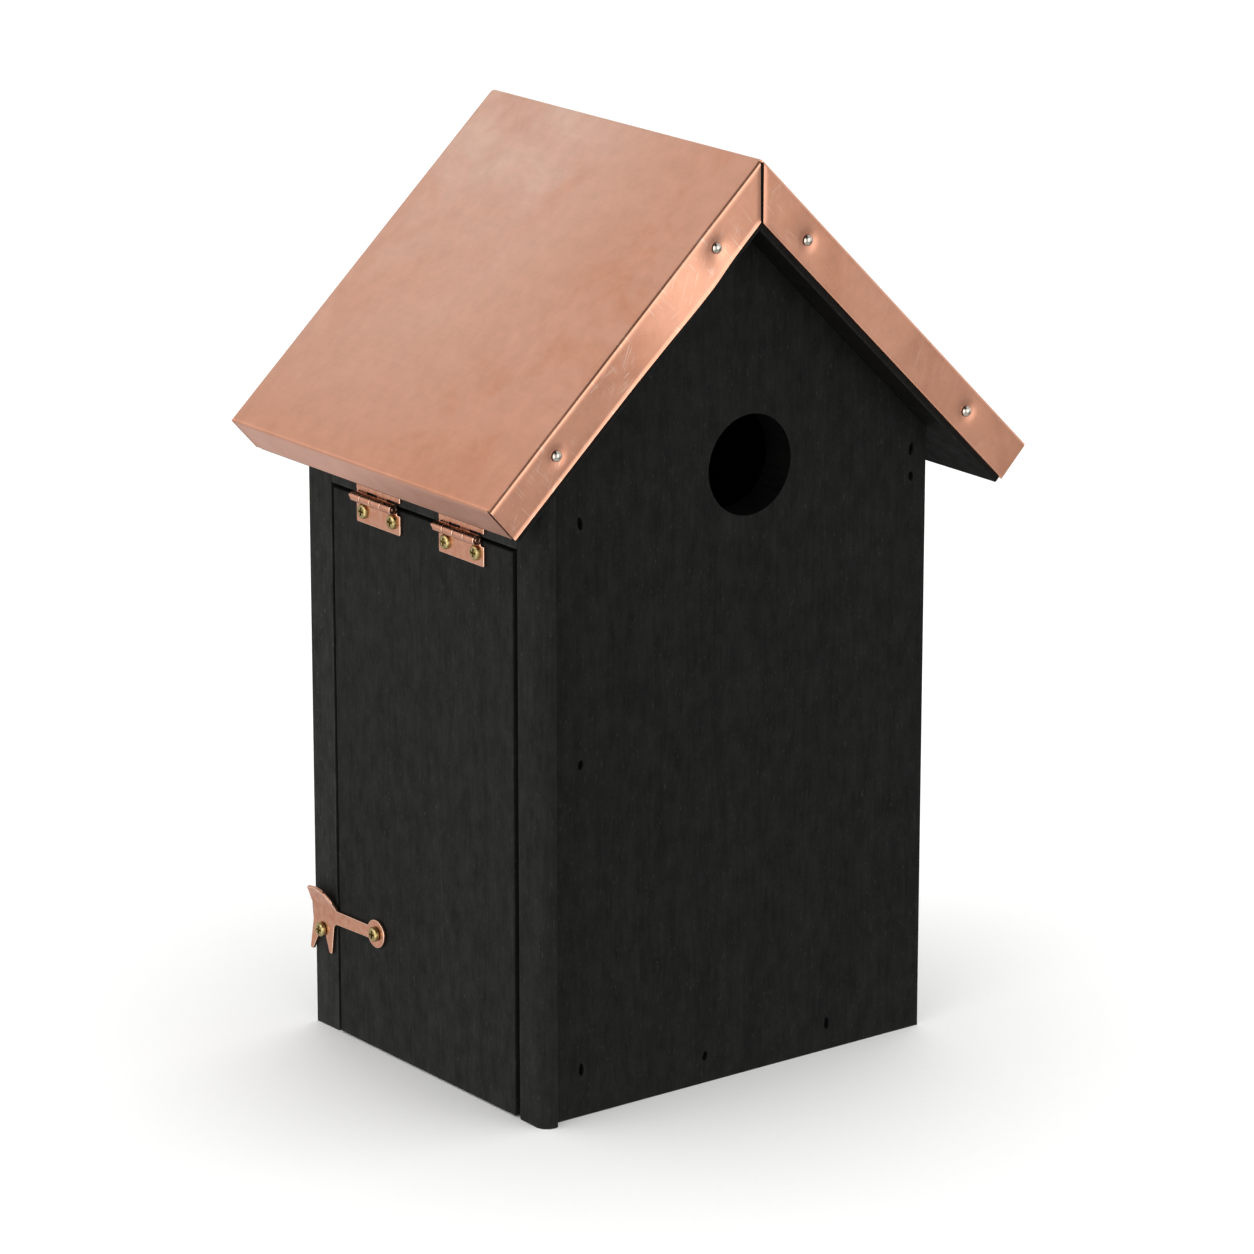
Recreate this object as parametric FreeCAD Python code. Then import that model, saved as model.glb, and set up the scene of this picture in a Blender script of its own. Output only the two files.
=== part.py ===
"""Wooden birdhouse with a folded copper roof and a latched clean-out door in its left side.

Millimetres. The origin is the centre of the body's footprint, on the surface that it stands on.
+X is to the right of someone facing the entrance, +Y is towards the back and +Z is up.
"""
import FreeCAD, Part
import math
import os

Vector = FreeCAD.Vector

# ---- body -----------------------------------------------------------------------------------
BODY_WIDTH = 152.0
BODY_DEPTH = 124.0
BOARD = 12.0
FLOOR_THICKNESS = 16.0
PANEL_RECESS = 3.2
STRIP_WIDTH = 6.3
STRIP_DEPTH = 12.8
FRONT_STRIP_ROUND = 4.5
FRONT_STRIP_INNER_ROUND = 2.0
BACK_STRIP_ROUND = 1.0
BATTEN_WIDTH = 14.4
BATTEN_DEPTH = 12.8
EASED_EDGE = 0.5
DRAIN_HOLE_RADIUS = 3.0
DRAIN_HOLE_INSET = 24.0

# ---- entrance -------------------------------------------------------------------------------
ENTRANCE_RADIUS = 16.0
ENTRANCE_X = 5.5
ENTRANCE_HEIGHT = 198.0

# ---- roof -----------------------------------------------------------------------------------
RIDGE_HEIGHT = 296.0
LEFT_PITCH = 42.5
RIGHT_PITCH = 44.5
LEFT_SLOPE = 137.5
RIGHT_SLOPE = 149.5
ROOF_THICKNESS = 16.0
COPPER = 0.6
BEND_RADIUS = 1.1
HEM_DEPTH = 13.8
ROOF_FRONT = -71.0
ROOF_BACK = 67.0
RIDGE_SLIT = 1.0
CORNER_SLIT = 0.4

# ---- door -----------------------------------------------------------------------------------
DOOR_FRONT_GAP = 2.2
DOOR_BACK_GAP = 1.2
DOOR_TOP_GAP = 1.2
DOOR_STOP_GAP = 0.6
DOOR_FOOT_GAP = 0.4
HINGE_AXIS_HEIGHT = 182.0

# ---- hinges ---------------------------------------------------------------------------------
HINGE_OFFSET = 22.0
LEAF_WIDTH = 23.4
DOOR_LEAF_REACH = 8.3
FIXED_LEAF_REACH = 12.6
LEAF_THICKNESS = 1.0
BARREL_RADIUS = 1.7
BARREL_STAND_OFF = 2.05
BARREL_SHORT = 1.6
KNUCKLES = 4
KNUCKLE_GAP = 0.3
LEAF_CLEARANCE = 0.3
HINGE_PIN_RADIUS = 0.8
RUNNING_CLEARANCE = 0.05
PIN_PROUD = 1.7
HINGE_SCREW_SPACING = 15.6
DOOR_SCREW_DROP = 4.4
FIXED_SCREW_RISE = 8.6

# ---- latch ----------------------------------------------------------------------------------
LATCH_PIVOT_Y = 26.0
LATCH_PIVOT_Z = 39.8
LATCH_THICKNESS = 1.0
LATCH_STAND_OFF = 0.3
LATCH_RING_RADIUS = 4.6
CATCH_REACH = 30.0
CATCH_DROP = 6.7
SLOT_RADIUS = 1.9
SLOT_SLACK = 0.2
SLOT_MOUTH_DROP = 8.6
TAB_BASE_HEIGHT = 1.5
TAB_BEND = 30.0
MOVING_GAP = 0.3

# ---- fasteners ------------------------------------------------------------------------------
SCREW_HEAD_RADIUS = 2.4
SCREW_HEAD_HEIGHT = 1.2
SCREW_HEAD_ROUND = 0.9
SCREW_TIP_RADIUS = 0.3
SCREW_SHANK_RADIUS = 1.3
HINGE_SCREW_LENGTH = 10.0
LATCH_SHANK_RADIUS = 1.5
CATCH_SHANK_RADIUS = 1.1
RECESS_WIDTH = 0.7
RECESS_SPAN = 2.6
RECESS_DEPTH = 0.9
NAIL_HEAD_RADIUS = 1.7
NAIL_HEAD_HEIGHT = 1.0
NAIL_SHANK_RADIUS = 0.8
NAIL_LENGTH = 18.0
NAIL_BELOW_SLOPE = 7.0
NAILS_ON_LEFT_SLOPE = (29.5, 110.5)
NAILS_ON_RIGHT_SLOPE = (32.0, 122.0)
BRAD_HEAD_RADIUS = 1.1
BRAD_HEAD_HEIGHT = 0.8
BRAD_SHANK_RADIUS = 0.7
BRAD_LENGTH = 22.0
BRAD_SUNK = 0.8
BRAD_PIT_RADIUS = 1.25
BATTEN_BRAD_X = -59.4
BATTEN_BRAD_HEIGHTS = (15.5, 114.0, 190.0)
FLOOR_BRAD_X = (-11.0, 38.0)
FLOOR_BRAD_Y = (-24.0, 28.0)
FLOOR_BRAD_HEIGHT = 9.0
SIDE_BRAD_X = 69.8
SIDE_BRAD_HEIGHTS = (184.0, 192.8)
ROOF_NAIL_RADIUS = 0.9
ROOF_NAIL_LENGTH = 36.0
ROOF_NAILS_ALONG = (40.0, 95.0)

# ---- hanging plate --------------------------------------------------------------------------
PLATE_HEIGHT_ABOVE_FLOOR = 222.0
PLATE_WIDTH = 18.0
PLATE_LENGTH = 44.0
PLATE_THICKNESS = 1.2
PLATE_CORNER = 7.2
KEYHOLE_RADIUS = 4.2
KEYHOLE_SLOT_RADIUS = 2.2
KEYHOLE_RISE = 8.0
PLATE_SCREW_SPACING = 34.0
POCKET_RADIUS = 6.0
POCKET_DEPTH = 6.0

# ---- worked out from the dimensions above ---------------------------------------------------
LEAF_REACH = {-1: DOOR_LEAF_REACH, 1: FIXED_LEAF_REACH}
SCREW_OFFSET = {-1: DOOR_SCREW_DROP, 1: FIXED_SCREW_RISE}
LEFT = -BODY_WIDTH / 2
RIGHT = BODY_WIDTH / 2
FRONT = -BODY_DEPTH / 2
BACK = BODY_DEPTH / 2
PANEL_FRONT = FRONT + PANEL_RECESS
PANEL_BACK = PANEL_FRONT + BOARD
BACK_PANEL_FRONT = BACK - BOARD
PANEL_LEFT = LEFT + STRIP_WIDTH
SIDE_INNER = RIGHT - BOARD
DOOR_INNER = LEFT + BOARD
STOP_FACE = DOOR_INNER + DOOR_STOP_GAP
STRIP_FRONT_END = FRONT + STRIP_DEPTH
STRIP_BACK_END = BACK - STRIP_DEPTH
DOOR_FRONT = STRIP_FRONT_END + DOOR_FRONT_GAP
DOOR_BACK = STRIP_BACK_END - DOOR_BACK_GAP
DOOR_TOP = HINGE_AXIS_HEIGHT - DOOR_TOP_GAP / 2
RAIL_BOTTOM = HINGE_AXIS_HEIGHT + DOOR_TOP_GAP / 2
HINGE_AXIS_X = LEFT - BARREL_STAND_OFF
PITCH = {-1: math.radians(LEFT_PITCH), 1: math.radians(RIGHT_PITCH)}
SLOPE = {-1: LEFT_SLOPE, 1: RIGHT_SLOPE}
NAILS_ON_SLOPE = {-1: NAILS_ON_LEFT_SLOPE, 1: NAILS_ON_RIGHT_SLOPE}
LATCH_BACK_X = LEFT - LATCH_STAND_OFF
LATCH_FRONT_X = LATCH_BACK_X - LATCH_THICKNESS
CATCH_Y = LATCH_PIVOT_Y + CATCH_REACH
CATCH_Z = LATCH_PIVOT_Z - CATCH_DROP
PAST = 1.0

# ---- latch outlines: reach from the pivot towards the back, rise, and corner radius ----------
HOOK_OUTLINE = (
    (0, 2.0, 0),
    (21.0, TAB_BASE_HEIGHT, 0.5),
    (35.4, TAB_BASE_HEIGHT, 0.3),
    (35.0, -4.7, 3.0),
    (36.9, -14.8, 0.6),
    (35.4, -14.8, 0.5),
    (CATCH_REACH + SLOT_RADIUS, -SLOT_MOUTH_DROP, 0),
    (CATCH_REACH - SLOT_RADIUS, -SLOT_MOUTH_DROP, 0),
    (26.1, -13.8, 0.6),
    (24.7, -13.8, 0.6),
    (23.2, -3.2, 2.2),
    (0, -2.2, 0),
)
TAB_OUTLINE = (
    (21.6, TAB_BASE_HEIGHT, 0),
    (22.3, 5.2, 1.2),
    (24.6, 9.0, 2.0),
    (28.4, 10.0, 2.5),
    (33.2, 9.0, 0.5),
    (35.2, TAB_BASE_HEIGHT, 0),
)


# ---- solids from outlines -------------------------------------------------------------------

def box(x0, x1, y0, y1, z0, z1):
    return Part.makeBox(x1 - x0, y1 - y0, z1 - z0, Vector(x0, y0, z0))


def cylinder(start, direction, radius, length):
    return Part.makeCylinder(radius, length, start, direction)


def prism(points, travel):
    """The solid that a closed polygon of points sweeps along the vector travel."""
    return Part.Face(Part.makePolygon(list(points) + [points[0]])).extrude(travel)


def in_xz(outline, y0, y1):
    """Outline points (x, z) extruded from y0 to y1."""
    return prism([Vector(x, y0, z) for x, z in outline], Vector(0, y1 - y0, 0))


def rounded_face(corners, place):
    """Face of a closed outline of (u, v, radius) corners, each turned with a tangent arc."""
    spots = [place(u, v) for u, v, radius in corners]
    ends = []
    edges = []
    for i, (u, v, radius) in enumerate(corners):
        corner = spots[i]
        back = (spots[i - 1] - corner).normalize()
        onward = (spots[(i + 1) % len(spots)] - corner).normalize()
        if radius == 0:
            ends.append((corner, corner))
            continue
        half = back.getAngle(onward) / 2
        trim = radius / math.tan(half)
        middle = (back + onward).normalize() * (radius / math.sin(half) - radius)
        ends.append((corner + back * trim, corner + onward * trim))
        edges.append(Part.Arc(ends[i][0], corner + middle, ends[i][1]).toShape())
    for i, (entry, leave) in enumerate(ends):
        edges.append(Part.LineSegment(ends[i - 1][1], entry).toShape())
    return Part.Face(Part.Wire(Part.__sortEdges__(edges)))


def eased(solid, radius, wanted):
    """The solid with the straight edges that wanted(start, end) picks rounded over."""
    edges = [e for e in solid.Edges if wanted(e.Vertexes[0].Point, e.Vertexes[-1].Point)]
    return solid.makeFillet(radius, edges)


# ---- the roof's slopes ----------------------------------------------------------------------

def slope_point(side, along, depth):
    """(x, z) of a point that far down the slope from the ridge, and that far below its surface."""
    pitch = PITCH[side]
    x = side * (along * math.cos(pitch) - depth * math.sin(pitch))
    return x, RIDGE_HEIGHT - along * math.sin(pitch) - depth * math.cos(pitch)


def slope_height(x, depth):
    """Height of the slope's parallel surface at x, depth below the outer one."""
    side = -1 if x < 0 else 1
    return RIDGE_HEIGHT - abs(x) * math.tan(PITCH[side]) - depth / math.cos(PITCH[side])


def inner_ridge(left_depth, right_depth):
    """(x, z) where the left slope's surface at one depth crosses the right one's at another."""
    left_drop = left_depth / math.cos(PITCH[-1])
    right_drop = right_depth / math.cos(PITCH[1])
    x = (left_drop - right_drop) / (math.tan(PITCH[-1]) + math.tan(PITCH[1]))
    return x, RIDGE_HEIGHT - left_drop + x * math.tan(PITCH[-1])


def gable(x0, x1, y0, y1):
    """A gable-shaped board from the ground to the underside of the roof boards."""
    outline = [
        (x0, 0),
        (x1, 0),
        (x1, slope_height(x1, ROOF_THICKNESS)),
        inner_ridge(ROOF_THICKNESS, ROOF_THICKNESS),
        (x0, slope_height(x0, ROOF_THICKNESS)),
    ]
    return in_xz(outline, y0, y1)


def under_roof(x0, x1, y0, y1, z0):
    """An upright board under one slope, its top cut to that slope."""
    outline = [
        (x0, z0),
        (x1, z0),
        (x1, slope_height(x1, ROOF_THICKNESS)),
        (x0, slope_height(x0, ROOF_THICKNESS)),
    ]
    return in_xz(outline, y0, y1)


# ---- where the fasteners sit ----------------------------------------------------------------

def front_brad_spots():
    spots = [(BATTEN_BRAD_X, z) for z in BATTEN_BRAD_HEIGHTS]
    spots += [(x, FLOOR_BRAD_HEIGHT) for x in FLOOR_BRAD_X]
    spots += [(SIDE_BRAD_X, z) for z in SIDE_BRAD_HEIGHTS]
    return [(Vector(x, PANEL_FRONT, z), Vector(0, 1, 0)) for x, z in spots]


def back_brad_spots():
    return [(Vector(spot.x, BACK, spot.z), Vector(0, -1, 0)) for spot, way in front_brad_spots()]


def side_brad_spots():
    return [(Vector(RIGHT, y, FLOOR_BRAD_HEIGHT), Vector(-1, 0, 0)) for y in FLOOR_BRAD_Y]


def roof_board_nail_spots(side):
    """Nails down through one roof board into the front and back panels, under the copper."""
    pitch = PITCH[side]
    way = Vector(-side * math.sin(pitch), 0, -math.cos(pitch))
    spots = []
    for along in ROOF_NAILS_ALONG:
        x, z = slope_point(side, along, COPPER)
        for y in ((PANEL_FRONT + PANEL_BACK) / 2, (BACK_PANEL_FRONT + BACK) / 2):
            spots.append((Vector(x, y, z), way))
    return spots


def hem_nail_spots(side, y, way):
    spots = [slope_point(side, along, NAIL_BELOW_SLOPE) for along in NAILS_ON_SLOPE[side]]
    return [(Vector(x, y, z), way) for x, z in spots]


def front_nail_spots(side):
    return hem_nail_spots(side, ROOF_FRONT, Vector(0, 1, 0))


def back_nail_spots(side):
    return hem_nail_spots(side, ROOF_BACK, Vector(0, -1, 0))


def hinge_screw_spots(hinge_y, up):
    """Screws of one leaf: up is 1 for the leaf on the rail and -1 for the leaf on the door."""
    z = HINGE_AXIS_HEIGHT + up * SCREW_OFFSET[up]
    x = LEFT - LEAF_THICKNESS
    ys = (hinge_y - HINGE_SCREW_SPACING / 2, hinge_y + HINGE_SCREW_SPACING / 2)
    return [(Vector(x, y, z), Vector(1, 0, 0)) for y in ys]


def plate_screw_spots():
    half = PLATE_SCREW_SPACING / 2
    y = BACK + PLATE_THICKNESS
    heights = (PLATE_HEIGHT_ABOVE_FLOOR - half, PLATE_HEIGHT_ABOVE_FLOOR + half)
    return [(Vector(0, y, z), Vector(0, -1, 0)) for z in heights]


LATCH_SEAT_X = LATCH_FRONT_X - MOVING_GAP
PIVOT_SPOT = (Vector(LATCH_SEAT_X, LATCH_PIVOT_Y, LATCH_PIVOT_Z), Vector(1, 0, 0))
CATCH_SPOT = (Vector(LATCH_SEAT_X, CATCH_Y, CATCH_Z), Vector(1, 0, 0))


# ---- fasteners ------------------------------------------------------------------------------

def without_shanks(solid, spots, radius, length):
    """The solid with a hole for each shank, from its spot along its way."""
    for spot, way in spots:
        solid = solid.cut(cylinder(spot, way, radius, length))
    return solid


def without_brads(solid, spots):
    """The solid with a pit, a head seat and a shank hole for each sunk brad."""
    head = BRAD_SUNK + BRAD_HEAD_HEIGHT
    solid = without_shanks(solid, spots, BRAD_SHANK_RADIUS, BRAD_SUNK + BRAD_LENGTH)
    solid = without_shanks(solid, spots, BRAD_HEAD_RADIUS, head)
    return without_shanks(solid, spots, BRAD_PIT_RADIUS, BRAD_SUNK)


def brads(spots):
    solids = []
    for spot, way in spots:
        top = spot + way * BRAD_SUNK
        shank = cylinder(top, way, BRAD_SHANK_RADIUS, BRAD_LENGTH)
        head = cylinder(top, way, BRAD_HEAD_RADIUS, BRAD_HEAD_HEIGHT)
        solids.append(shank.fuse(head).removeSplitter())
    return Part.Compound(solids)


def domed_head(spot, way, radius, height):
    """A spherical cap whose flat underside is centred on spot and whose crown is behind it."""
    ball_radius = (radius ** 2 + height ** 2) / (2 * height)
    ball = Part.makeSphere(ball_radius, spot + way * (ball_radius - height))
    return ball.common(cylinder(spot - way * (height + PAST), way, radius + PAST, height + PAST))


def dome_nails(spots):
    solids = []
    for spot, way in spots:
        head = domed_head(spot, way, NAIL_HEAD_RADIUS, NAIL_HEAD_HEIGHT)
        solids.append(head.fuse(cylinder(spot, way, NAIL_SHANK_RADIUS, NAIL_LENGTH)))
    return Part.Compound(solids)


def plain_nails(spots):
    return Part.Compound([cylinder(s, w, ROOF_NAIL_RADIUS, ROOF_NAIL_LENGTH) for s, w in spots])


def pan_screw(spot, way, shank_radius, length):
    """A round-headed wood screw with a cross recess and a pointed tip."""
    top = spot - way * SCREW_HEAD_HEIGHT
    head = cylinder(top, way, SCREW_HEAD_RADIUS, SCREW_HEAD_HEIGHT)
    rim = [e for e in head.Edges if e.Curve.TypeId == "Part::GeomCircle"
           and (e.Curve.Center - top).Length < EASED_EDGE]
    head = head.makeFillet(SCREW_HEAD_ROUND, rim)
    across = way.cross(Vector(0, 0, 1))
    for side in (across, Vector(0, 0, 1)):
        other = way.cross(side)
        start = top - side * (RECESS_SPAN / 2) - other * (RECESS_WIDTH / 2)
        corners = [
            start,
            start + side * RECESS_SPAN,
            start + side * RECESS_SPAN + other * RECESS_WIDTH,
            start + other * RECESS_WIDTH,
        ]
        head = head.cut(prism(corners, way * RECESS_DEPTH))
    body = length - 2 * shank_radius
    shank = cylinder(spot, way, shank_radius, body)
    tip = Part.makeCone(shank_radius, SCREW_TIP_RADIUS, 2 * shank_radius, spot + way * body, way)
    return head.fuse(shank).fuse(tip)


def screws(spots, shank_radius, length):
    return Part.Compound([pan_screw(s, w, shank_radius, length) for s, w in spots])


# ---- body boards ----------------------------------------------------------------------------

def drilled_board(board, front_or_back_spots):
    """A gable board with its holes for brads and roof nails."""
    board = without_brads(board, front_or_back_spots)
    for side in (-1, 1):
        spots = roof_board_nail_spots(side)
        board = without_shanks(board, spots, ROOF_NAIL_RADIUS, ROOF_NAIL_LENGTH)
    return board


def front_panel():
    panel = gable(PANEL_LEFT, RIGHT, PANEL_FRONT, PANEL_BACK)
    top = slope_height(STOP_FACE, ROOF_THICKNESS) + ROOF_THICKNESS
    rebate = box(PANEL_LEFT - PAST, STOP_FACE, STRIP_FRONT_END, PANEL_BACK + PAST, -PAST, top)
    panel = panel.cut(rebate)
    panel = eased(panel, EASED_EDGE, lambda a, b: a.x == b.x == RIGHT and a.y == b.y == PANEL_FRONT)
    mouth = Vector(ENTRANCE_X, PANEL_FRONT - PAST, ENTRANCE_HEIGHT)
    panel = panel.cut(cylinder(mouth, Vector(0, 1, 0), ENTRANCE_RADIUS, BOARD + 2 * PAST))
    return drilled_board(panel, front_brad_spots())


def back_panel():
    panel = gable(PANEL_LEFT, RIGHT, BACK_PANEL_FRONT, BACK)
    panel = eased(panel, EASED_EDGE, lambda a, b: a.x == b.x == RIGHT and a.y == b.y == BACK)
    low = Vector(0, BACK, PLATE_HEIGHT_ABOVE_FLOOR - KEYHOLE_RISE / 2)
    pocket = cylinder(low, Vector(0, -1, 0), POCKET_RADIUS, POCKET_DEPTH)
    pocket = pocket.fuse(pocket.translated(Vector(0, 0, KEYHOLE_RISE)))
    pocket = pocket.fuse(box(-POCKET_RADIUS, POCKET_RADIUS, BACK - POCKET_DEPTH, BACK,
                             low.z, low.z + KEYHOLE_RISE))
    panel = panel.cut(pocket)
    panel = without_shanks(panel, plate_screw_spots(), SCREW_SHANK_RADIUS, HINGE_SCREW_LENGTH)
    return drilled_board(panel, back_brad_spots())


def right_side_panel():
    panel = under_roof(SIDE_INNER, RIGHT, PANEL_BACK, BACK_PANEL_FRONT, 0)
    panel = without_brads(panel, side_brad_spots())
    panel = without_brads(panel, front_brad_spots())
    return without_brads(panel, back_brad_spots())


def corner_strip(end_y, inner_y, outer_round):
    """The strip that covers a panel's left end, with its outer upright edge rounded."""
    strip = under_roof(LEFT, PANEL_LEFT, min(end_y, inner_y), max(end_y, inner_y), 0)
    return eased(strip, outer_round, lambda a, b: a.x == b.x == LEFT and a.y == b.y == end_y)


def front_corner_strip():
    strip = corner_strip(FRONT, STRIP_FRONT_END, FRONT_STRIP_ROUND)
    return eased(strip, FRONT_STRIP_INNER_ROUND,
                 lambda a, b: a.x == b.x == PANEL_LEFT and a.y == b.y == FRONT)


def stop_batten(panel_face, inward, spots):
    """The upright batten behind a panel that the door shuts against."""
    y0, y1 = sorted((panel_face, panel_face + inward * BATTEN_DEPTH))
    batten = under_roof(STOP_FACE, STOP_FACE + BATTEN_WIDTH, y0, y1, 0)
    return drilled_board(batten, spots)


def floor_board():
    outline = [
        (STOP_FACE + BATTEN_WIDTH, PANEL_BACK),
        (SIDE_INNER, PANEL_BACK),
        (SIDE_INNER, BACK_PANEL_FRONT),
        (STOP_FACE + BATTEN_WIDTH, BACK_PANEL_FRONT),
        (STOP_FACE + BATTEN_WIDTH, BACK_PANEL_FRONT - BATTEN_DEPTH),
        (STOP_FACE, BACK_PANEL_FRONT - BATTEN_DEPTH),
        (STOP_FACE, PANEL_BACK + BATTEN_DEPTH),
        (STOP_FACE + BATTEN_WIDTH, PANEL_BACK + BATTEN_DEPTH),
    ]
    board = prism([Vector(x, y, 0) for x, y in outline], Vector(0, 0, FLOOR_THICKNESS))
    for x in (STOP_FACE + BATTEN_WIDTH, SIDE_INNER - DRAIN_HOLE_INSET):
        for y in (PANEL_BACK + DRAIN_HOLE_INSET, BACK_PANEL_FRONT - DRAIN_HOLE_INSET):
            board = board.cut(cylinder(Vector(x, y, 0), Vector(0, 0, 1),
                                       DRAIN_HOLE_RADIUS, FLOOR_THICKNESS))
    for spots in (front_brad_spots(), back_brad_spots(), side_brad_spots()):
        board = without_brads(board, spots)
    return board


def door_head_rail():
    rail = under_roof(LEFT, STOP_FACE, STRIP_FRONT_END, STRIP_BACK_END, RAIL_BOTTOM)
    for hinge_y in (-HINGE_OFFSET, HINGE_OFFSET):
        spots = hinge_screw_spots(hinge_y, 1)
        rail = without_shanks(rail, spots, SCREW_SHANK_RADIUS, HINGE_SCREW_LENGTH)
    return rail


def back_corner_strip():
    strip = corner_strip(BACK, STRIP_BACK_END, BACK_STRIP_ROUND)
    return without_shanks(strip, [CATCH_SPOT], CATCH_SHANK_RADIUS, STRIP_WIDTH)


# ---- roof -----------------------------------------------------------------------------------

def roof_board(side):
    """One roof board. The left one runs to the ridge and the right one butts against it."""
    end = SLOPE[side] - COPPER
    if side < 0:
        upper = [(*inner_ridge(COPPER, COPPER), BEND_RADIUS),
                 (*inner_ridge(ROOF_THICKNESS, COPPER), 0)]
    else:
        upper = [(*inner_ridge(ROOF_THICKNESS, COPPER), 0),
                 (*inner_ridge(ROOF_THICKNESS, ROOF_THICKNESS), 0)]
    lower = [(*slope_point(side, end, ROOF_THICKNESS), 0),
             (*slope_point(side, end, COPPER), BEND_RADIUS)]
    board = rounded_face(upper + lower, lambda x, z: Vector(x, ROOF_FRONT + COPPER, z))
    board = board.extrude(Vector(0, ROOF_BACK - ROOF_FRONT - 2 * COPPER, 0))
    board = without_shanks(board, front_nail_spots(side) + back_nail_spots(side),
                           NAIL_SHANK_RADIUS, NAIL_LENGTH)
    return without_shanks(board, roof_board_nail_spots(side), ROOF_NAIL_RADIUS, ROOF_NAIL_LENGTH)


def copper_top():
    """The sheet folded over the ridge and down both eaves, as one band with rounded folds."""
    def place(x, z):
        return Vector(x, ROOF_FRONT, z)

    def turn(point, radius):
        return point[0], point[1], radius

    inner_radius = BEND_RADIUS - COPPER
    outer = []
    inner = []
    for side in (-1, 1):
        length = SLOPE[side]
        hem = [turn(slope_point(side, length, HEM_DEPTH), 0),
               turn(slope_point(side, length, 0), BEND_RADIUS)]
        lining = [turn(slope_point(side, length - COPPER, HEM_DEPTH), 0),
                  turn(slope_point(side, length - COPPER, COPPER), inner_radius)]
        outer.append(hem)
        inner.append(lining)
    corners = outer[0] + [(0, RIDGE_HEIGHT, BEND_RADIUS)] + outer[1][::-1]
    corners += inner[1] + [turn(inner_ridge(COPPER, COPPER), inner_radius)] + inner[0][::-1]
    return rounded_face(corners, place).extrude(Vector(0, ROOF_BACK - ROOF_FRONT, 0))


def end_hem(side, y0):
    """The flap folded down over one roof board's front or back end."""
    end = SLOPE[side] - COPPER - CORNER_SLIT
    edge = side * RIDGE_SLIT / 2
    outline = [
        (edge, slope_height(edge, 0)),
        slope_point(side, end, 0),
        slope_point(side, end, HEM_DEPTH),
        (edge, slope_height(edge, HEM_DEPTH)),
    ]
    return in_xz(outline, y0, y0 + COPPER)


def copper_roof_sheet():
    sheet = copper_top()
    for side in (-1, 1):
        for y0 in (ROOF_FRONT, ROOF_BACK - COPPER):
            sheet = sheet.fuse(end_hem(side, y0))
    sheet = sheet.removeSplitter()
    for side in (-1, 1):
        spots = front_nail_spots(side) + back_nail_spots(side)
        sheet = without_shanks(sheet, spots, NAIL_SHANK_RADIUS, NAIL_LENGTH)
    return sheet


# ---- door, hinges and latch -----------------------------------------------------------------

def side_door():
    door = box(LEFT, DOOR_INNER, DOOR_FRONT, DOOR_BACK, DOOR_FOOT_GAP, DOOR_TOP)
    door = eased(door, EASED_EDGE, lambda a, b: a.x == b.x == LEFT)
    for hinge_y in (-HINGE_OFFSET, HINGE_OFFSET):
        spots = hinge_screw_spots(hinge_y, -1)
        door = without_shanks(door, spots, SCREW_SHANK_RADIUS, HINGE_SCREW_LENGTH)
    return without_shanks(door, [PIVOT_SPOT], LATCH_SHANK_RADIUS, HINGE_SCREW_LENGTH)


def barrel_span(hinge_y):
    """Where a hinge's barrel starts and ends: it stops short of the leaf at the front end."""
    return hinge_y - LEAF_WIDTH / 2 + BARREL_SHORT, hinge_y + LEAF_WIDTH / 2


def hinge_leaf(hinge_y, up):
    """A flat leaf with its share of the knuckles: up is 1 on the rail and -1 on the door."""
    start, end = barrel_span(hinge_y)
    y0 = hinge_y - LEAF_WIDTH / 2
    y1 = hinge_y + LEAF_WIDTH / 2
    near = HINGE_AXIS_HEIGHT + up * (BARREL_RADIUS + LEAF_CLEARANCE)
    far = HINGE_AXIS_HEIGHT + up * LEAF_REACH[up]
    leaf = box(LEFT - LEAF_THICKNESS, LEFT, y0, y1, min(near, far), max(near, far))
    corners = [e for e in leaf.Edges if abs(e.tangentAt(e.FirstParameter).x) > 0.5
               and abs(e.Vertexes[0].Z - far) < EASED_EDGE]
    leaf = leaf.makeFillet(EASED_EDGE, corners)
    pitch = (end - start) / KNUCKLES
    first = 1 if up > 0 else 0
    for i in range(first, KNUCKLES, 2):
        low = start + i * pitch + KNUCKLE_GAP / 2
        long = pitch - KNUCKLE_GAP
        axis = Vector(HINGE_AXIS_X, low, HINGE_AXIS_HEIGHT)
        barrel = cylinder(axis, Vector(0, 1, 0), BARREL_RADIUS, long)
        root = HINGE_AXIS_HEIGHT + up * BARREL_RADIUS / 2
        curl = box(LEFT - LEAF_THICKNESS, LEFT - LEAF_CLEARANCE, low, low + long,
                   min(root, near), max(root, near))
        neck = box(LEFT - LEAF_THICKNESS, LEFT, low, low + long,
                   min(near, near + up), max(near, near + up))
        leaf = leaf.fuse(barrel).fuse(curl).fuse(neck)
    leaf = leaf.removeSplitter()
    bore = cylinder(Vector(HINGE_AXIS_X, start - PAST, HINGE_AXIS_HEIGHT), Vector(0, 1, 0),
                    HINGE_PIN_RADIUS + RUNNING_CLEARANCE, end - start + 2 * PAST)
    leaf = leaf.cut(bore)
    return without_shanks(leaf, hinge_screw_spots(hinge_y, up), SCREW_SHANK_RADIUS,
                          LEAF_THICKNESS)


def hinge_pin(hinge_y):
    start, end = barrel_span(hinge_y)
    return cylinder(Vector(HINGE_AXIS_X, start, HINGE_AXIS_HEIGHT), Vector(0, 1, 0),
                    HINGE_PIN_RADIUS, end + PIN_PROUD - start)


def on_latch(x):
    """Places latch outline points: reach towards the back and rise, both from the pivot."""
    return lambda reach, rise: Vector(x, LATCH_PIVOT_Y + reach, LATCH_PIVOT_Z + rise)


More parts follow.
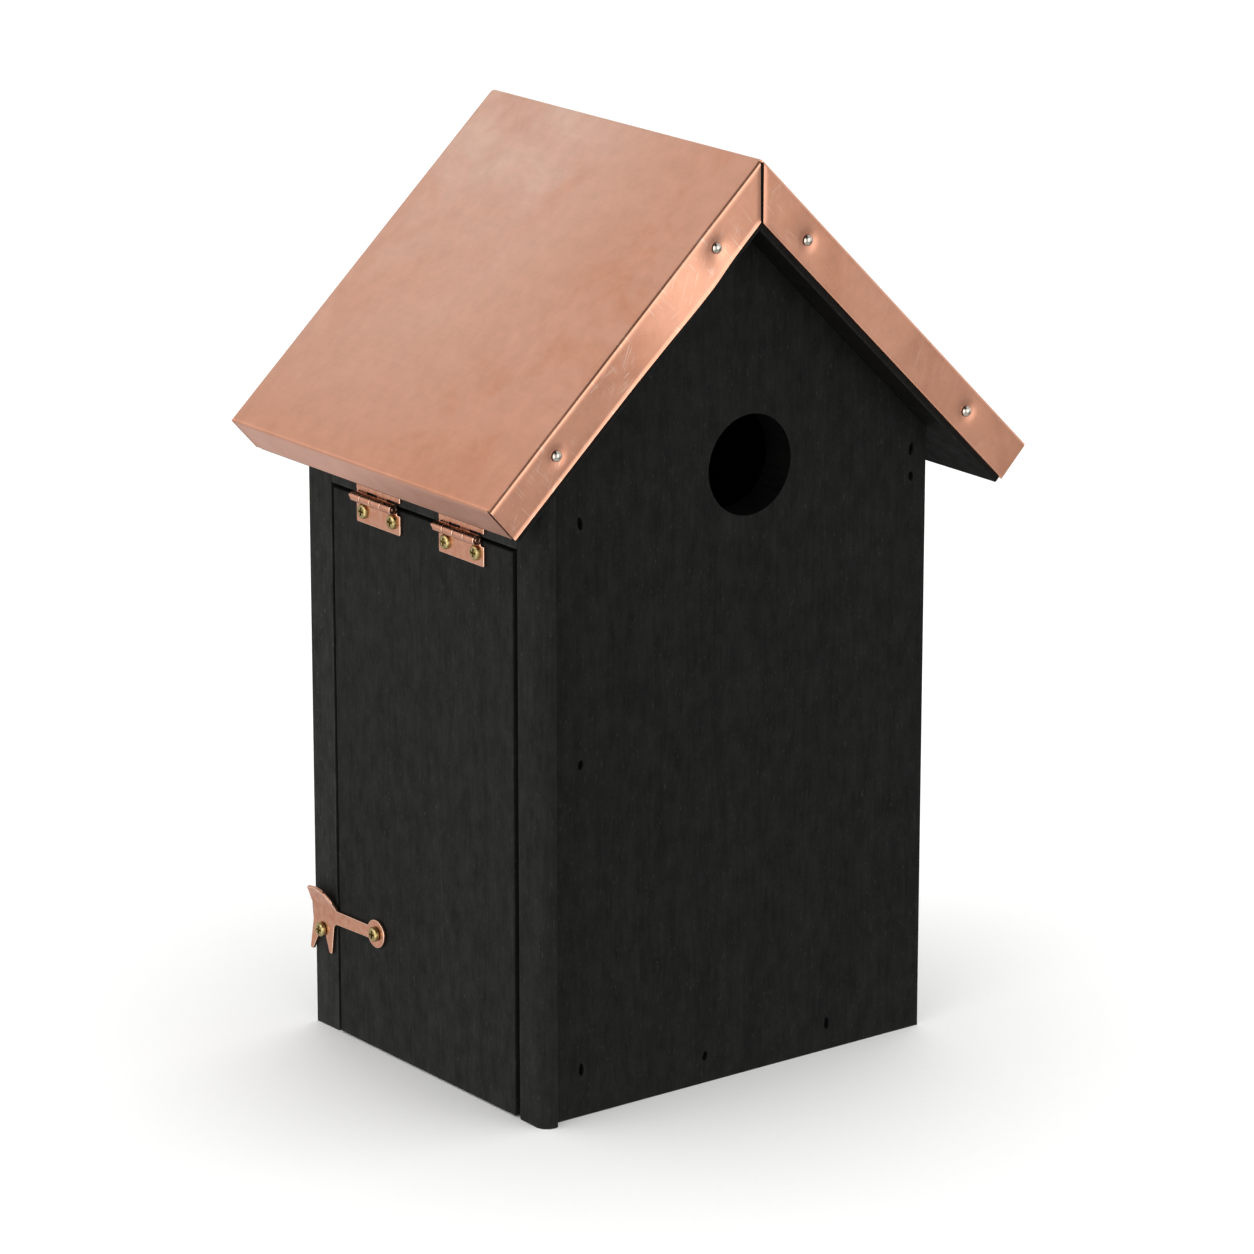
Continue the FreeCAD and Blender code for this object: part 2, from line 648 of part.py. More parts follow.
def latch_hook():
    """Swing hook: a ring at the pivot, an arm, a two-pronged fork and a bent-out thumb tab."""
    through = Vector(LATCH_THICKNESS, 0, 0)
    hook = rounded_face(HOOK_OUTLINE, on_latch(LATCH_FRONT_X)).extrude(through)
    pivot = on_latch(LATCH_FRONT_X)(0, 0)
    hook = hook.fuse(cylinder(pivot, Vector(1, 0, 0), LATCH_RING_RADIUS, LATCH_THICKNESS))
    tab = rounded_face(TAB_OUTLINE, on_latch(LATCH_FRONT_X)).extrude(through)
    crease = on_latch(LATCH_BACK_X)(0, TAB_BASE_HEIGHT)
    tab.rotate(crease, Vector(0, 1, 0), -TAB_BEND)
    hook = hook.fuse(tab).removeSplitter()
    slot_drop = CATCH_DROP + SLOT_RADIUS - CATCH_SHANK_RADIUS - SLOT_SLACK
    slot_top = on_latch(LATCH_FRONT_X)(CATCH_REACH, -slot_drop)
    slot = cylinder(slot_top, Vector(1, 0, 0), SLOT_RADIUS, LATCH_THICKNESS)
    mouth = LATCH_PIVOT_Z - SLOT_MOUTH_DROP
    slot = slot.fuse(box(LATCH_FRONT_X, LATCH_BACK_X, slot_top.y - SLOT_RADIUS,
                         slot_top.y + SLOT_RADIUS, mouth, slot_top.z))
    hook = hook.cut(slot)
    bore_radius = LATCH_SHANK_RADIUS + RUNNING_CLEARANCE
    return hook.cut(cylinder(pivot, Vector(1, 0, 0), bore_radius, LATCH_THICKNESS))


# ---- hanging plate --------------------------------------------------------------------------

def hanging_plate():
    half_width = PLATE_WIDTH / 2
    half_length = PLATE_LENGTH / 2
    low, high = PLATE_HEIGHT_ABOVE_FLOOR - half_length, PLATE_HEIGHT_ABOVE_FLOOR + half_length
    outline = [(x, z, PLATE_CORNER) for x, z in (
        (-half_width, low), (half_width, low), (half_width, high), (-half_width, high))]
    plate = rounded_face(outline, lambda x, z: Vector(x, BACK, z))
    plate = plate.extrude(Vector(0, PLATE_THICKNESS, 0))
    entry = Vector(0, BACK, PLATE_HEIGHT_ABOVE_FLOOR - KEYHOLE_RISE / 2)
    through = Vector(0, 1, 0)
    plate = plate.cut(cylinder(entry, through, KEYHOLE_RADIUS, PLATE_THICKNESS))
    neck = cylinder(entry + Vector(0, 0, KEYHOLE_RISE), through, KEYHOLE_SLOT_RADIUS,
                    PLATE_THICKNESS)
    neck = neck.fuse(box(-KEYHOLE_SLOT_RADIUS, KEYHOLE_SLOT_RADIUS, BACK, BACK + PLATE_THICKNESS,
                         entry.z, entry.z + KEYHOLE_RISE))
    plate = plate.cut(neck)
    return without_shanks(plate, plate_screw_spots(), SCREW_SHANK_RADIUS, PLATE_THICKNESS)


# ---- all nodes ------------------------------------------------------------------------------

def all_nodes():
    both_sides = (-1, 1)
    nodes = {
        "front_panel": front_panel(),
        "back_panel": back_panel(),
        "right_side_panel": right_side_panel(),
        "front_corner_strip": front_corner_strip(),
        "back_corner_strip": back_corner_strip(),
        "front_stop_batten": stop_batten(PANEL_BACK, 1, front_brad_spots()),
        "back_stop_batten": stop_batten(BACK_PANEL_FRONT, -1, back_brad_spots()),
        "floor_board": floor_board(),
        "door_head_rail": door_head_rail(),
        "left_roof_board": roof_board(-1),
        "right_roof_board": roof_board(1),
        "copper_roof_sheet": copper_roof_sheet(),
        "front_roof_nails": dome_nails(sum((front_nail_spots(s) for s in both_sides), [])),
        "back_roof_nails": dome_nails(sum((back_nail_spots(s) for s in both_sides), [])),
        "roof_board_nails": plain_nails(sum((roof_board_nail_spots(s) for s in both_sides), [])),
        "front_panel_brads": brads(front_brad_spots()),
        "back_panel_brads": brads(back_brad_spots()),
        "side_panel_brads": brads(side_brad_spots()),
        "hanging_plate": hanging_plate(),
        "hanging_plate_screws": screws(plate_screw_spots(), SCREW_SHANK_RADIUS,
                                       HINGE_SCREW_LENGTH),
        "side_door": side_door(),
        "latch_hook": latch_hook(),
        "latch_pivot_screw": pan_screw(*PIVOT_SPOT, LATCH_SHANK_RADIUS, HINGE_SCREW_LENGTH),
        "latch_catch_screw": pan_screw(*CATCH_SPOT, CATCH_SHANK_RADIUS, STRIP_WIDTH),
    }
    for name, hinge_y in (("front", -HINGE_OFFSET), ("back", HINGE_OFFSET)):
        nodes[name + "_hinge_fixed_leaf"] = hinge_leaf(hinge_y, 1)
        nodes[name + "_hinge_door_leaf"] = hinge_leaf(hinge_y, -1)
        nodes[name + "_hinge_pin"] = hinge_pin(hinge_y)
        nodes[name + "_hinge_fixed_screws"] = screws(
            hinge_screw_spots(hinge_y, 1), SCREW_SHANK_RADIUS, HINGE_SCREW_LENGTH)
        nodes[name + "_hinge_door_screws"] = screws(
            hinge_screw_spots(hinge_y, -1), SCREW_SHANK_RADIUS, HINGE_SCREW_LENGTH)
    return nodes


os.makedirs("parts", exist_ok=True)
for node, shape in all_nodes().items():
    shape.exportStep("parts/" + node + ".step")
    print(node, "valid" if shape.isValid() else "NOT VALID", len(shape.Solids),
          "solids", round(shape.Volume, 1), "mm3")
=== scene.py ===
# %% [markdown]
# # A birdhouse with a folded copper roof
# The real thing is a small box of black-stained softwood boards. One sheet of copper is folded
# over its two roof boards, and its left side is a door on copper-plated hinges, held shut by a
# swing hook. The CAD model already has every part at its true size and place, so it is loaded
# first as a fixed frame. Everything below either gives a CAD part its finish, or builds a finer
# version of a part that the CAD keeps simple. Lengths are in metres and Z is up.

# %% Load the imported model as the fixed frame
import math

import bmesh
import bpy
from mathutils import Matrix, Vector, noise


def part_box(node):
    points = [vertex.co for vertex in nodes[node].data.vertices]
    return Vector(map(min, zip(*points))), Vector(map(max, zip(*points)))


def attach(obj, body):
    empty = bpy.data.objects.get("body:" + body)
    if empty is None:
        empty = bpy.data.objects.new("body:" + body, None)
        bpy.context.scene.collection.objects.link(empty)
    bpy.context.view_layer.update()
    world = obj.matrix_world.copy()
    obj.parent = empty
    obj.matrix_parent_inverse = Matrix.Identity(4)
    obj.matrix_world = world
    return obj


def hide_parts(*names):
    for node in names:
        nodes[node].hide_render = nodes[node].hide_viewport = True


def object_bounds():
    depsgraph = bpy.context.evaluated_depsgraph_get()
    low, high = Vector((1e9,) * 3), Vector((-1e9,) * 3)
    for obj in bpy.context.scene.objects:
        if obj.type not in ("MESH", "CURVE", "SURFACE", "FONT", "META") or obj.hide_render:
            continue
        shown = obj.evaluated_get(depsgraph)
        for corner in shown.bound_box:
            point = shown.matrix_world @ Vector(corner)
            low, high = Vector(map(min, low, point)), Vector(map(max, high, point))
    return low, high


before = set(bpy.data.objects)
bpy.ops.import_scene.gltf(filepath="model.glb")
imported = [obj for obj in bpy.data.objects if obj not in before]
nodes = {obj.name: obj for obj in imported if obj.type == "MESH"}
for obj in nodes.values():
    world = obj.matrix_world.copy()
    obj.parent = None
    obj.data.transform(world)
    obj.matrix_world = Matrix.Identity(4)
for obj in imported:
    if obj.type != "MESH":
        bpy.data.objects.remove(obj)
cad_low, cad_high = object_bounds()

MM = 0.001
print("CAD nodes:", len(nodes), " box in mm:", [round(v / MM) for v in cad_high - cad_low])

# %% [markdown]
# ## The camera
# A long lens from about 1.8 m away keeps the upright edges nearly parallel. The camera stands to
# the front left, a little above the ridge, and looks at a point near the middle of the box.
# Azimuth 0 would look straight at the entrance.

# %% Camera
AIM = Vector((1.86, -1.41, 133.39)) * MM
CAMERA_AZIMUTH = math.radians(-37.19)
CAMERA_ELEVATION = math.radians(16.41)
CAMERA_DISTANCE = 1833.2 * MM
LENS, SENSOR = 166.42, 36.0  # millimetres, the camera's own unit
CLIP_END = 30.0

away = Vector((
    math.sin(CAMERA_AZIMUTH) * math.cos(CAMERA_ELEVATION),
    -math.cos(CAMERA_AZIMUTH) * math.cos(CAMERA_ELEVATION),
    math.sin(CAMERA_ELEVATION),
))
camera = bpy.data.objects.new("camera", bpy.data.cameras.new("camera"))
bpy.context.scene.collection.objects.link(camera)
camera.location = AIM + away * CAMERA_DISTANCE
camera.rotation_euler = (-away).to_track_quat("-Z", "Y").to_euler()
camera.data.lens = LENS
camera.data.sensor_width = SENSOR
camera.data.clip_end = CLIP_END
bpy.context.scene.camera = camera
print("camera at", [round(v, 3) for v in camera.location])

# %% [markdown]
# ## Helpers for materials
# A material here is a small graph of nodes. One function makes an empty material. Another adds a
# node, sets its settings and fills its sockets: a socket gets either a value or a link from
# another node's output. Colours are written as sRGB hex, the way a paint chart gives them, and
# one function turns them to the linear numbers that the renderer works with.

# %% Colour and node helpers
def linear(hex_colour):
    """Linear RGBA of an sRGB hex colour such as "B87333"."""
    channels = [int(hex_colour[i:i + 2], 16) / 255 for i in (0, 2, 4)]
    return [c / 12.92 if c <= 0.04045 else ((c + 0.055) / 1.055) ** 2.4 for c in channels] + [1.0]


def add(tree, kind, sockets=None, stops=None, **settings):
    """A new node of that kind. sockets maps an input's name or number to a value or an output."""
    node = tree.nodes.new("ShaderNode" + kind)
    for name, value in settings.items():
        setattr(node, name, value)
    for key, value in (sockets or {}).items():
        if isinstance(value, bpy.types.NodeSocket):
            tree.links.new(value, node.inputs[key])
        else:
            node.inputs[key].default_value = value
    if stops:
        ramp = node.color_ramp.elements
        while len(ramp) < len(stops):
            ramp.new(0.5)
        for element, (position, colour) in zip(ramp, stops):
            element.position = position
            element.color = colour
    return node


def new_material(name):
    """An empty material with its node tree."""
    material = bpy.data.materials.new(name)
    material.use_nodes = True
    material.node_tree.nodes.clear()
    return material, material.node_tree


BLACK, WHITE = linear("000000"), linear("FFFFFF")
print("a middle grey, 808080, is", round(linear("808080")[0], 3), "in linear light")

# %% [markdown]
# ## Rolled copper sheet
# The roof is half-hard copper sheet as it comes off the rolls: clean, not yet weathered, with a
# satin finish. Copper is a bare metal, so it is fully metallic and its base colour is what it
# reflects. Handling leaves cloudy, slightly redder smudges, most of them near the eaves, and the
# upper part of the slopes, which nobody touches, keeps a paler bloom. Rolling leaves very fine
# parallel lines. The real ones are a few hundredths of a millimetre apart, too fine to show, so
# they are drawn 0.9 mm apart. All of these also change how blurred the reflection is.

# %% Rolled copper sheet
ROLLING_LINE = 0.9 * MM
DRAWN_OUT = 60  # how much longer than wide the lines are
SMUDGE = 34.0 * MM
FINE_MOTTLE = 6.0 * MM
BLUR_RANGE = 0.05  # how far the clouds change the roughness, each way
BLOOM_LOW, BLOOM_HIGH = 195.0 * MM, 275.0 * MM
BLOOM_FRONT, BLOOM_BACK = -50.0 * MM, 15.0 * MM
HANDLED_LOW, HANDLED_HIGH = 200.0 * MM, 232.0 * MM


def rolled_copper(name, clean, smudged, bloom, roughness, scratched):
    """Satin copper. bloom is the paler tone high up, scratched how strongly scratches show."""
    material, tree = new_material(name)
    place = add(tree, "TexCoord").outputs["Object"]
    cloud = add(tree, "TexNoise", {"Vector": place, "Scale": 1 / SMUDGE, "Detail": 5.0,
                                   "Roughness": 0.6, "Distortion": 0.8})
    mottle = add(tree, "TexNoise", {"Vector": place, "Scale": 1 / FINE_MOTTLE, "Detail": 5.0,
                                    "Roughness": 0.65})
    # The lines run along the ridge, which is Y.
    stretch = add(tree, "Mapping", {"Vector": place, "Scale": (1.0, 1 / DRAWN_OUT, 1.0)})
    lines = add(tree, "TexNoise", {"Vector": stretch.outputs[0], "Scale": 1 / ROLLING_LINE,
                                   "Detail": 2.0})
    # Where the copper keeps its bloom, and where it was handled.
    spot = add(tree, "SeparateXYZ", {0: place}).outputs
    high = add(tree, "MapRange", {0: spot[2], 1: BLOOM_LOW, 2: BLOOM_HIGH})
    rear = add(tree, "MapRange", {0: spot[1], 1: BLOOM_FRONT, 2: BLOOM_BACK})
    broken = add(tree, "MapRange", {0: cloud.outputs["Fac"], 1: 0.35, 2: 0.6, 3: 0.35, 4: 1.0})
    above = add(tree, "Math", {0: high.outputs[0], 1: rear.outputs[0]}, operation="MULTIPLY")
    paler = add(tree, "Math", {0: above.outputs[0], 1: broken.outputs[0]}, operation="MULTIPLY")
    low = add(tree, "MapRange", {0: spot[2], 1: HANDLED_HIGH, 2: HANDLED_LOW})
    handled = add(tree, "Math", {0: low.outputs[0], 1: broken.outputs[0]}, operation="MULTIPLY")
    smudges = add(tree, "MapRange", {0: cloud.outputs["Fac"], 1: 0.47, 2: 0.66})
    redder = add(tree, "Math", {0: smudges.outputs[0], 1: handled.outputs[0]},
                 operation="MAXIMUM")
    # The colour: clean, smudged, then paler, and last the fine mottle and the lines.
    touched = add(tree, "Mix", {0: redder.outputs[0], 6: linear(clean), 7: linear(smudged)},
                  data_type="RGBA")
    colour = add(tree, "Mix", {0: paler.outputs[0], 6: touched.outputs[2], 7: linear(bloom)},
                 data_type="RGBA")
    fine = add(tree, "MapRange", {0: mottle.outputs["Fac"], 1: 0.3, 2: 0.7, 3: 0.94, 4: 1.05})
    streak = add(tree, "MapRange", {0: lines.outputs["Fac"], 1: 0.3, 2: 0.7, 3: 0.985, 4: 1.01})
    tone = add(tree, "Math", {0: fine.outputs[0], 1: streak.outputs[0]}, operation="MULTIPLY")
    toned = add(tree, "VectorMath", {0: colour.outputs[2], "Scale": tone.outputs[0]},
                operation="SCALE")
    # How blurred the reflection is, and the relief that breaks it up.
    blur = add(tree, "MapRange", {0: cloud.outputs["Fac"], 1: 0.3, 2: 0.7,
                                  3: roughness + BLUR_RANGE, 4: roughness - BLUR_RANGE})
    relief_height = add(tree, "Math", {0: lines.outputs["Fac"], 1: mottle.outputs["Fac"]},
                        operation="ADD")
    relief = add(tree, "Bump", {"Height": relief_height.outputs[0], "Strength": 0.10,
                                "Distance": 0.05 * MM})
    final_colour, normal = toned.outputs[0], relief.outputs[0]
    if scratched:
        final_colour, normal = scratches(tree, place, final_colour, normal, scratched)
    shader = add(tree, "BsdfPrincipled", {"Base Color": final_colour, "Metallic": 1.0,
                                          "Roughness": blur.outputs[0], "Normal": normal})
    add(tree, "OutputMaterial", {0: shader.outputs[0]})
    return material


print("rolling lines:", round(ROLLING_LINE / MM, 2), "mm apart, smudges:",
      round(SMUDGE / MM), "mm across")

# %% [markdown]
# The left hems were rubbed while they were folded and nailed. The scratches are short bright
# hairlines in a few directions. For each direction a noise is drawn out sixty times along the
# scratch, and only its thin crest is kept, which gives straight lines. A second noise cuts them
# to length, and a third keeps them in patches. A hair scratch is about 0.05 mm wide, and it is
# drawn 0.2 mm wide so that it shows.

# %% Handling scratches
SCRATCH_PITCH = 0.9 * MM
SCRATCH_LENGTH = 5.0 * MM
SCRATCH_PATCH = 14.0 * MM
SCRATCH_TURNS = (40.0, 47.0, -55.0, -20.0)  # degrees
PATTERN_STEP = 0.7  # metres between the four directions' places in the noise
RUBBED_FROM, RUBBED_TO = 25.0 * MM, -15.0 * MM  # in X: from the right hems to the left
LEAST_RUBBED = 0.3  # on the right hems, as a share of the left


def scratches(tree, place, colour, normal, strength):
    """Adds bright hairlines over a colour and a normal, and returns both."""
    across = add(tree, "SeparateXYZ", {0: place}).outputs[0]
    shown = None
    for number, turn in enumerate(SCRATCH_TURNS):
        turned = add(tree, "Mapping", {"Vector": place,
                                       "Location": (PATTERN_STEP * number, 0.0, 0.0),
                                       "Rotation": (0.0, math.radians(turn), 0.0)})
        patch = add(tree, "TexNoise", {"Vector": turned.outputs[0], "Scale": 1 / SCRATCH_PATCH,
                                       "Detail": 0.0})
        where = add(tree, "MapRange", {0: patch.outputs["Fac"], 1: 0.48, 2: 0.60})
        straight = add(tree, "Mapping", {"Vector": turned.outputs[0],
                                         "Scale": (1.0, 0.0, 1 / DRAWN_OUT)})
        lines = add(tree, "TexNoise", {"Vector": straight.outputs[0],
                                       "Scale": 1 / SCRATCH_PITCH, "Detail": 0.0})
        crest = add(tree, "ValToRGB", {0: lines.outputs["Fac"]},
                    stops=[(0.60, BLACK), (0.64, WHITE), (0.68, BLACK)])
        # Squeezed across the scratches, so that neighbours are cut in different places.
        short = add(tree, "Mapping", {"Vector": turned.outputs[0], "Scale": (2.5, 0.0, 1.0)})
        length = add(tree, "TexNoise", {"Vector": short.outputs[0],
                                        "Scale": 1 / SCRATCH_LENGTH, "Detail": 0.0})
        ends = add(tree, "MapRange", {0: length.outputs["Fac"], 1: 0.50, 2: 0.62})
        cut = add(tree, "Math", {0: crest.outputs[0], 1: ends.outputs[0]}, operation="MULTIPLY")
        seen = add(tree, "Math", {0: cut.outputs[0], 1: where.outputs[0]},
                   operation="MULTIPLY").outputs[0]
        if shown:
            seen = add(tree, "Math", {0: seen, 1: shown}, operation="MAXIMUM").outputs[0]
        shown = seen
    rubbed = add(tree, "MapRange", {0: across, 1: RUBBED_FROM, 2: RUBBED_TO,
                                    3: LEAST_RUBBED * strength, 4: strength})
    amount = add(tree, "Math", {0: shown, 1: rubbed.outputs[0]}, operation="MULTIPLY")
    lighter = add(tree, "Mix", {0: amount.outputs[0], 6: colour, 7: linear("FFE6D6")},
                  data_type="RGBA")
    groove = add(tree, "Bump", {"Height": amount.outputs[0], "Strength": 0.3,
                                "Distance": 0.04 * MM, "Normal": normal}, invert=True)
    return lighter.outputs[2], groove.outputs[0]


# The slopes are the plain sheet. The eave hems were handled most and are duller. The front and
# back flaps are smoother, and their copper is a touch darker, a painted shade. The sheared edges
# are bare copper, and their lighter colour is partly a painted highlight. Each line gives the
# clean, smudged and bloomed colours, the roughness and how far scratches show.
sheet_copper = rolled_copper("rolled_copper_sheet", "E9AE93", "E09D7D", "F4CAB5", 0.36, 0.0)
eave_copper = rolled_copper("rolled_copper_eave", "F0C1AE", "E6AA90", "F0C1AE", 0.40, 0.0)
hem_copper = rolled_copper("rolled_copper_hem", "E5A88C", "E0A083", "E5A88C", 0.30, 0.5)
edge_copper_and_highlight = rolled_copper("sheared_edge_painted_highlight", "FBC6AA", "F6B999", "FBC6AA", 0.28, 0.0)
print("copper materials:", sheet_copper.name, eave_copper.name, hem_copper.name)

# %% [markdown]
# ## Black-stained softwood
# The boards are planed pine or spruce, brushed with a thin black stain that soaks in and dries
# matt. Thin stain hides the colour of the wood but not its grain: the hard latewood lines stay a
# little lighter and stand a few hundredths of a millimetre proud, the soft wood between them
# drinks more stain, and cut pores and raised fibres catch the light as tiny pale flecks. The
# finish is porous, so it reflects far less than a varnish would, and its specular level is low.
# Boards differ. Each reads two properties of its own object: board_shift moves the pattern, so
# that no two boards share a grain, and the other scales the board's whole colour. That scale is
# partly how pale the stain left the board and partly painted light and shade: the front panel is
# painted darker than the door, and the back corner strip and the head rail lighter.

# %% Black-stained softwood
GRAIN_WIDTH = 1.1 * MM
BAND_WIDTH = 9.0 * MM
BLOTCH = 5.0 * MM
FLECK = 0.5 * MM  # real ones are 0.2 mm or less, too fine to show
STREAK_RATIO = 12  # lengths over widths
BLOTCH_RATIO = 1.6
FIBRE_RATIO = 4
SHIFT_WAY = (0.31, 0.17, 0.43)  # which way a board's shift moves its pattern


def stained_wood(name, along, stain, worn, fleck, specular):
    """Stained wood with its grain along one axis: 0 is X, 1 is Y and 2 is Z."""
    material, tree = new_material(name)
    own = add(tree, "Attribute", attribute_type="OBJECT", attribute_name="board_shift")
    spread = add(tree, "VectorMath", {0: own.outputs["Vector"], 1: SHIFT_WAY},
                 operation="MULTIPLY")
    place = add(tree, "VectorMath", {0: add(tree, "TexCoord").outputs["Object"],
                                     1: spread.outputs[0]}, operation="ADD")

    def pattern(size, stretch, detail, **more):
        """Noise of that size, drawn out along the grain."""
        scale = [1.0, 1.0, 1.0]
        scale[along] = 1 / stretch
        drawn = add(tree, "Mapping", {"Vector": place.outputs[0], "Scale": scale})
        sockets = {"Vector": drawn.outputs[0], "Scale": 1 / size, "Detail": detail}
        sockets.update(more)
        return add(tree, "TexNoise", sockets).outputs["Fac"]

    grain = pattern(GRAIN_WIDTH, STREAK_RATIO, 4.0, Roughness=0.65)
    bands = pattern(BAND_WIDTH, STREAK_RATIO, 2.0, Distortion=0.4)
    blotch = pattern(BLOTCH, BLOTCH_RATIO, 6.0, Roughness=0.7)
    grit = pattern(FLECK, 1.0, 2.0, Roughness=0.7)
    fibre = pattern(FLECK, FIBRE_RATIO, 1.0)
    # How much of the wood shows through the stain, from 0 to 1.
    streaks = add(tree, "MapRange", {0: grain, 1: 0.34, 2: 0.68, 3: 0.0, 4: 0.8})
    soft = add(tree, "MapRange", {0: bands, 1: 0.35, 2: 0.65, 3: 0.0, 4: 0.3})
    uneven = add(tree, "MapRange", {0: blotch, 1: 0.34, 2: 0.68, 3: 0.0, 4: 0.9})
    sum_1 = add(tree, "Math", {0: streaks.outputs[0], 1: soft.outputs[0]}, operation="ADD")
    sum_2 = add(tree, "Math", {0: sum_1.outputs[0], 1: uneven.outputs[0]}, operation="ADD")
    wear = add(tree, "Math", {0: sum_2.outputs[0], 1: 0.5}, operation="MULTIPLY",
               use_clamp=True)
    colour = add(tree, "Mix", {0: wear.outputs[0], 6: linear(stain), 7: linear(worn)},
                 data_type="RGBA")
    # The pale flecks: round specks and short hairs.
    specks = add(tree, "MapRange", {0: grit, 1: 0.66, 2: 0.86, 3: 0.0, 4: 0.7})
    hairs = add(tree, "MapRange", {0: fibre, 1: 0.68, 2: 0.90, 3: 0.0, 4: 0.7})
    pale = add(tree, "Math", {0: specks.outputs[0], 1: hairs.outputs[0]}, operation="MAXIMUM")
    flecked = add(tree, "Mix", {0: pale.outputs[0], 6: colour.outputs[2], 7: linear(fleck)},
                  data_type="RGBA")
    # Painted light and shade: this scale darkens or lightens the whole board, along with its
    # stain.
    left = add(tree, "Attribute", attribute_type="OBJECT", attribute_name="stain_left")
    toned = add(tree, "VectorMath", {0: flecked.outputs[2], "Scale": left.outputs["Fac"]},
                operation="SCALE")
    # Where less stain soaked in the surface is smoother. The grain stands proud.
    rough = add(tree, "MapRange", {0: blotch, 1: 0.3, 2: 0.7, 3: 0.84, 4: 0.66})
    fine = add(tree, "Math", {0: grit, 1: 0.35}, operation="MULTIPLY")
    height = add(tree, "Math", {0: grain, 1: fine.outputs[0]}, operation="ADD")
    relief = add(tree, "Bump", {"Height": height.outputs[0], "Strength": 0.5,
                                "Distance": 0.12 * MM})
    shader = add(tree, "BsdfPrincipled", {"Base Color": toned.outputs[0],
                                          "Roughness": rough.outputs[0],
                                          "Specular IOR Level": specular,
                                          "Normal": relief.outputs[0]})
    add(tree, "OutputMaterial", {0: shader.outputs[0]})
    return material


# Each line gives the grain's axis, the stained, worn and fleck colours, and the specular level.
upright_wood = stained_wood("black_stained_softwood", 2, "151514", "282827", "4E4E4B", 0.10)
roof_wood = stained_wood("black_stained_roof_board", 1, "161514", "242220", "4A4844", 0.08)
worn_wood = stained_wood("stain_worn_off_edge", 2, "161615", "343432", "66665F", 0.10)
end_grain = stained_wood("stained_end_grain", 1, "0A0A0A", "191918", "44443F", 0.05)
print("wood materials:", upright_wood.name, roof_wood.name, worn_wood.name, end_grain.name)

# %% [markdown]
# ## The small metal parts
# The hinges and the hook are thin steel, pressed out and copper-plated: the same hue as the roof
# but smoother and brighter. The screws are yellow-passivated brass. The domed roof nails are
# nickel-plated. All three are metals with a little unevenness in their polish, so one function
# makes them from two tones, a roughness and the size of their mottling.

# %% Plated steel, brass and nickel
POLISH_PIT = 0.5 * MM


def small_metal(name, tone, dull, roughness, mottle_size):
    """A smooth metal that is slightly duller and rougher in patches."""
    material, tree = new_material(name)
    place = add(tree, "TexCoord").outputs["Object"]
    patches = add(tree, "TexNoise", {"Vector": place, "Scale": 1 / mottle_size, "Detail": 3.0})
    amount = add(tree, "MapRange", {0: patches.outputs["Fac"], 1: 0.35, 2: 0.7})
    colour = add(tree, "Mix", {0: amount.outputs[0], 6: linear(tone), 7: linear(dull)},
                 data_type="RGBA")
    blur = add(tree, "MapRange", {0: patches.outputs["Fac"], 1: 0.3, 2: 0.7,
                                  3: roughness - 0.04, 4: roughness + 0.08})
    pitted = add(tree, "TexNoise", {"Vector": place, "Scale": 1 / POLISH_PIT, "Detail": 2.0})
    relief = add(tree, "Bump", {"Height": pitted.outputs["Fac"], "Strength": 0.15,
                                "Distance": 0.03 * MM})
    shader = add(tree, "BsdfPrincipled", {"Base Color": colour.outputs[2], "Metallic": 1.0,
                                          "Roughness": blur.outputs[0],
                                          "Normal": relief.outputs[0]})
    add(tree, "OutputMaterial", {0: shader.outputs[0]})
    return material


plated_steel = small_metal("copper_plated_steel", "E5AB90", "D08E70", 0.27, 2.2 * MM)
# The rims' lighter tone is a painted highlight; their lower roughness is the burnish.
rim_metal_and_highlight = small_metal("burnished_rim_painted_highlight", "FFD9C2", "F4BFA2", 0.20, 1.5 * MM)
yellow_brass = small_metal("yellow_brass", "CDB980", "75673F", 0.22, 0.9 * MM)
bright_nickel = small_metal("nickel_plated_steel", "DCD3C8", "A39A8E", 0.10, 0.9 * MM)
dull_steel = small_metal("dark_steel_brad", "141312", "0B0B0A", 0.6, 0.8 * MM)
print("small metals:", plated_steel.name, yellow_brass.name, bright_nickel.name)

# %% [markdown]
# ## Easing the edges
# No real board or pressed plate has a perfectly sharp edge. Sanding rounds a board's arrises by
# about half a millimetre, and a punch rounds a plate's rim by a tenth or two. That narrow round
# catches the light and is what makes an edge read as real. The CAD keeps its edges sharp, and a
# CAD mesh is never changed, so each part gets a copy whose sharp edges are bevelled, and the
# copy stands for the CAD part.

# %% Finished copies of CAD parts
SHARP = math.radians(35)  # an edge that turns more than this is one of the part's own
FLAT = math.radians(1)  # an edge that turns less only comes from the CAD's triangles
WELD = 0.002 * MM


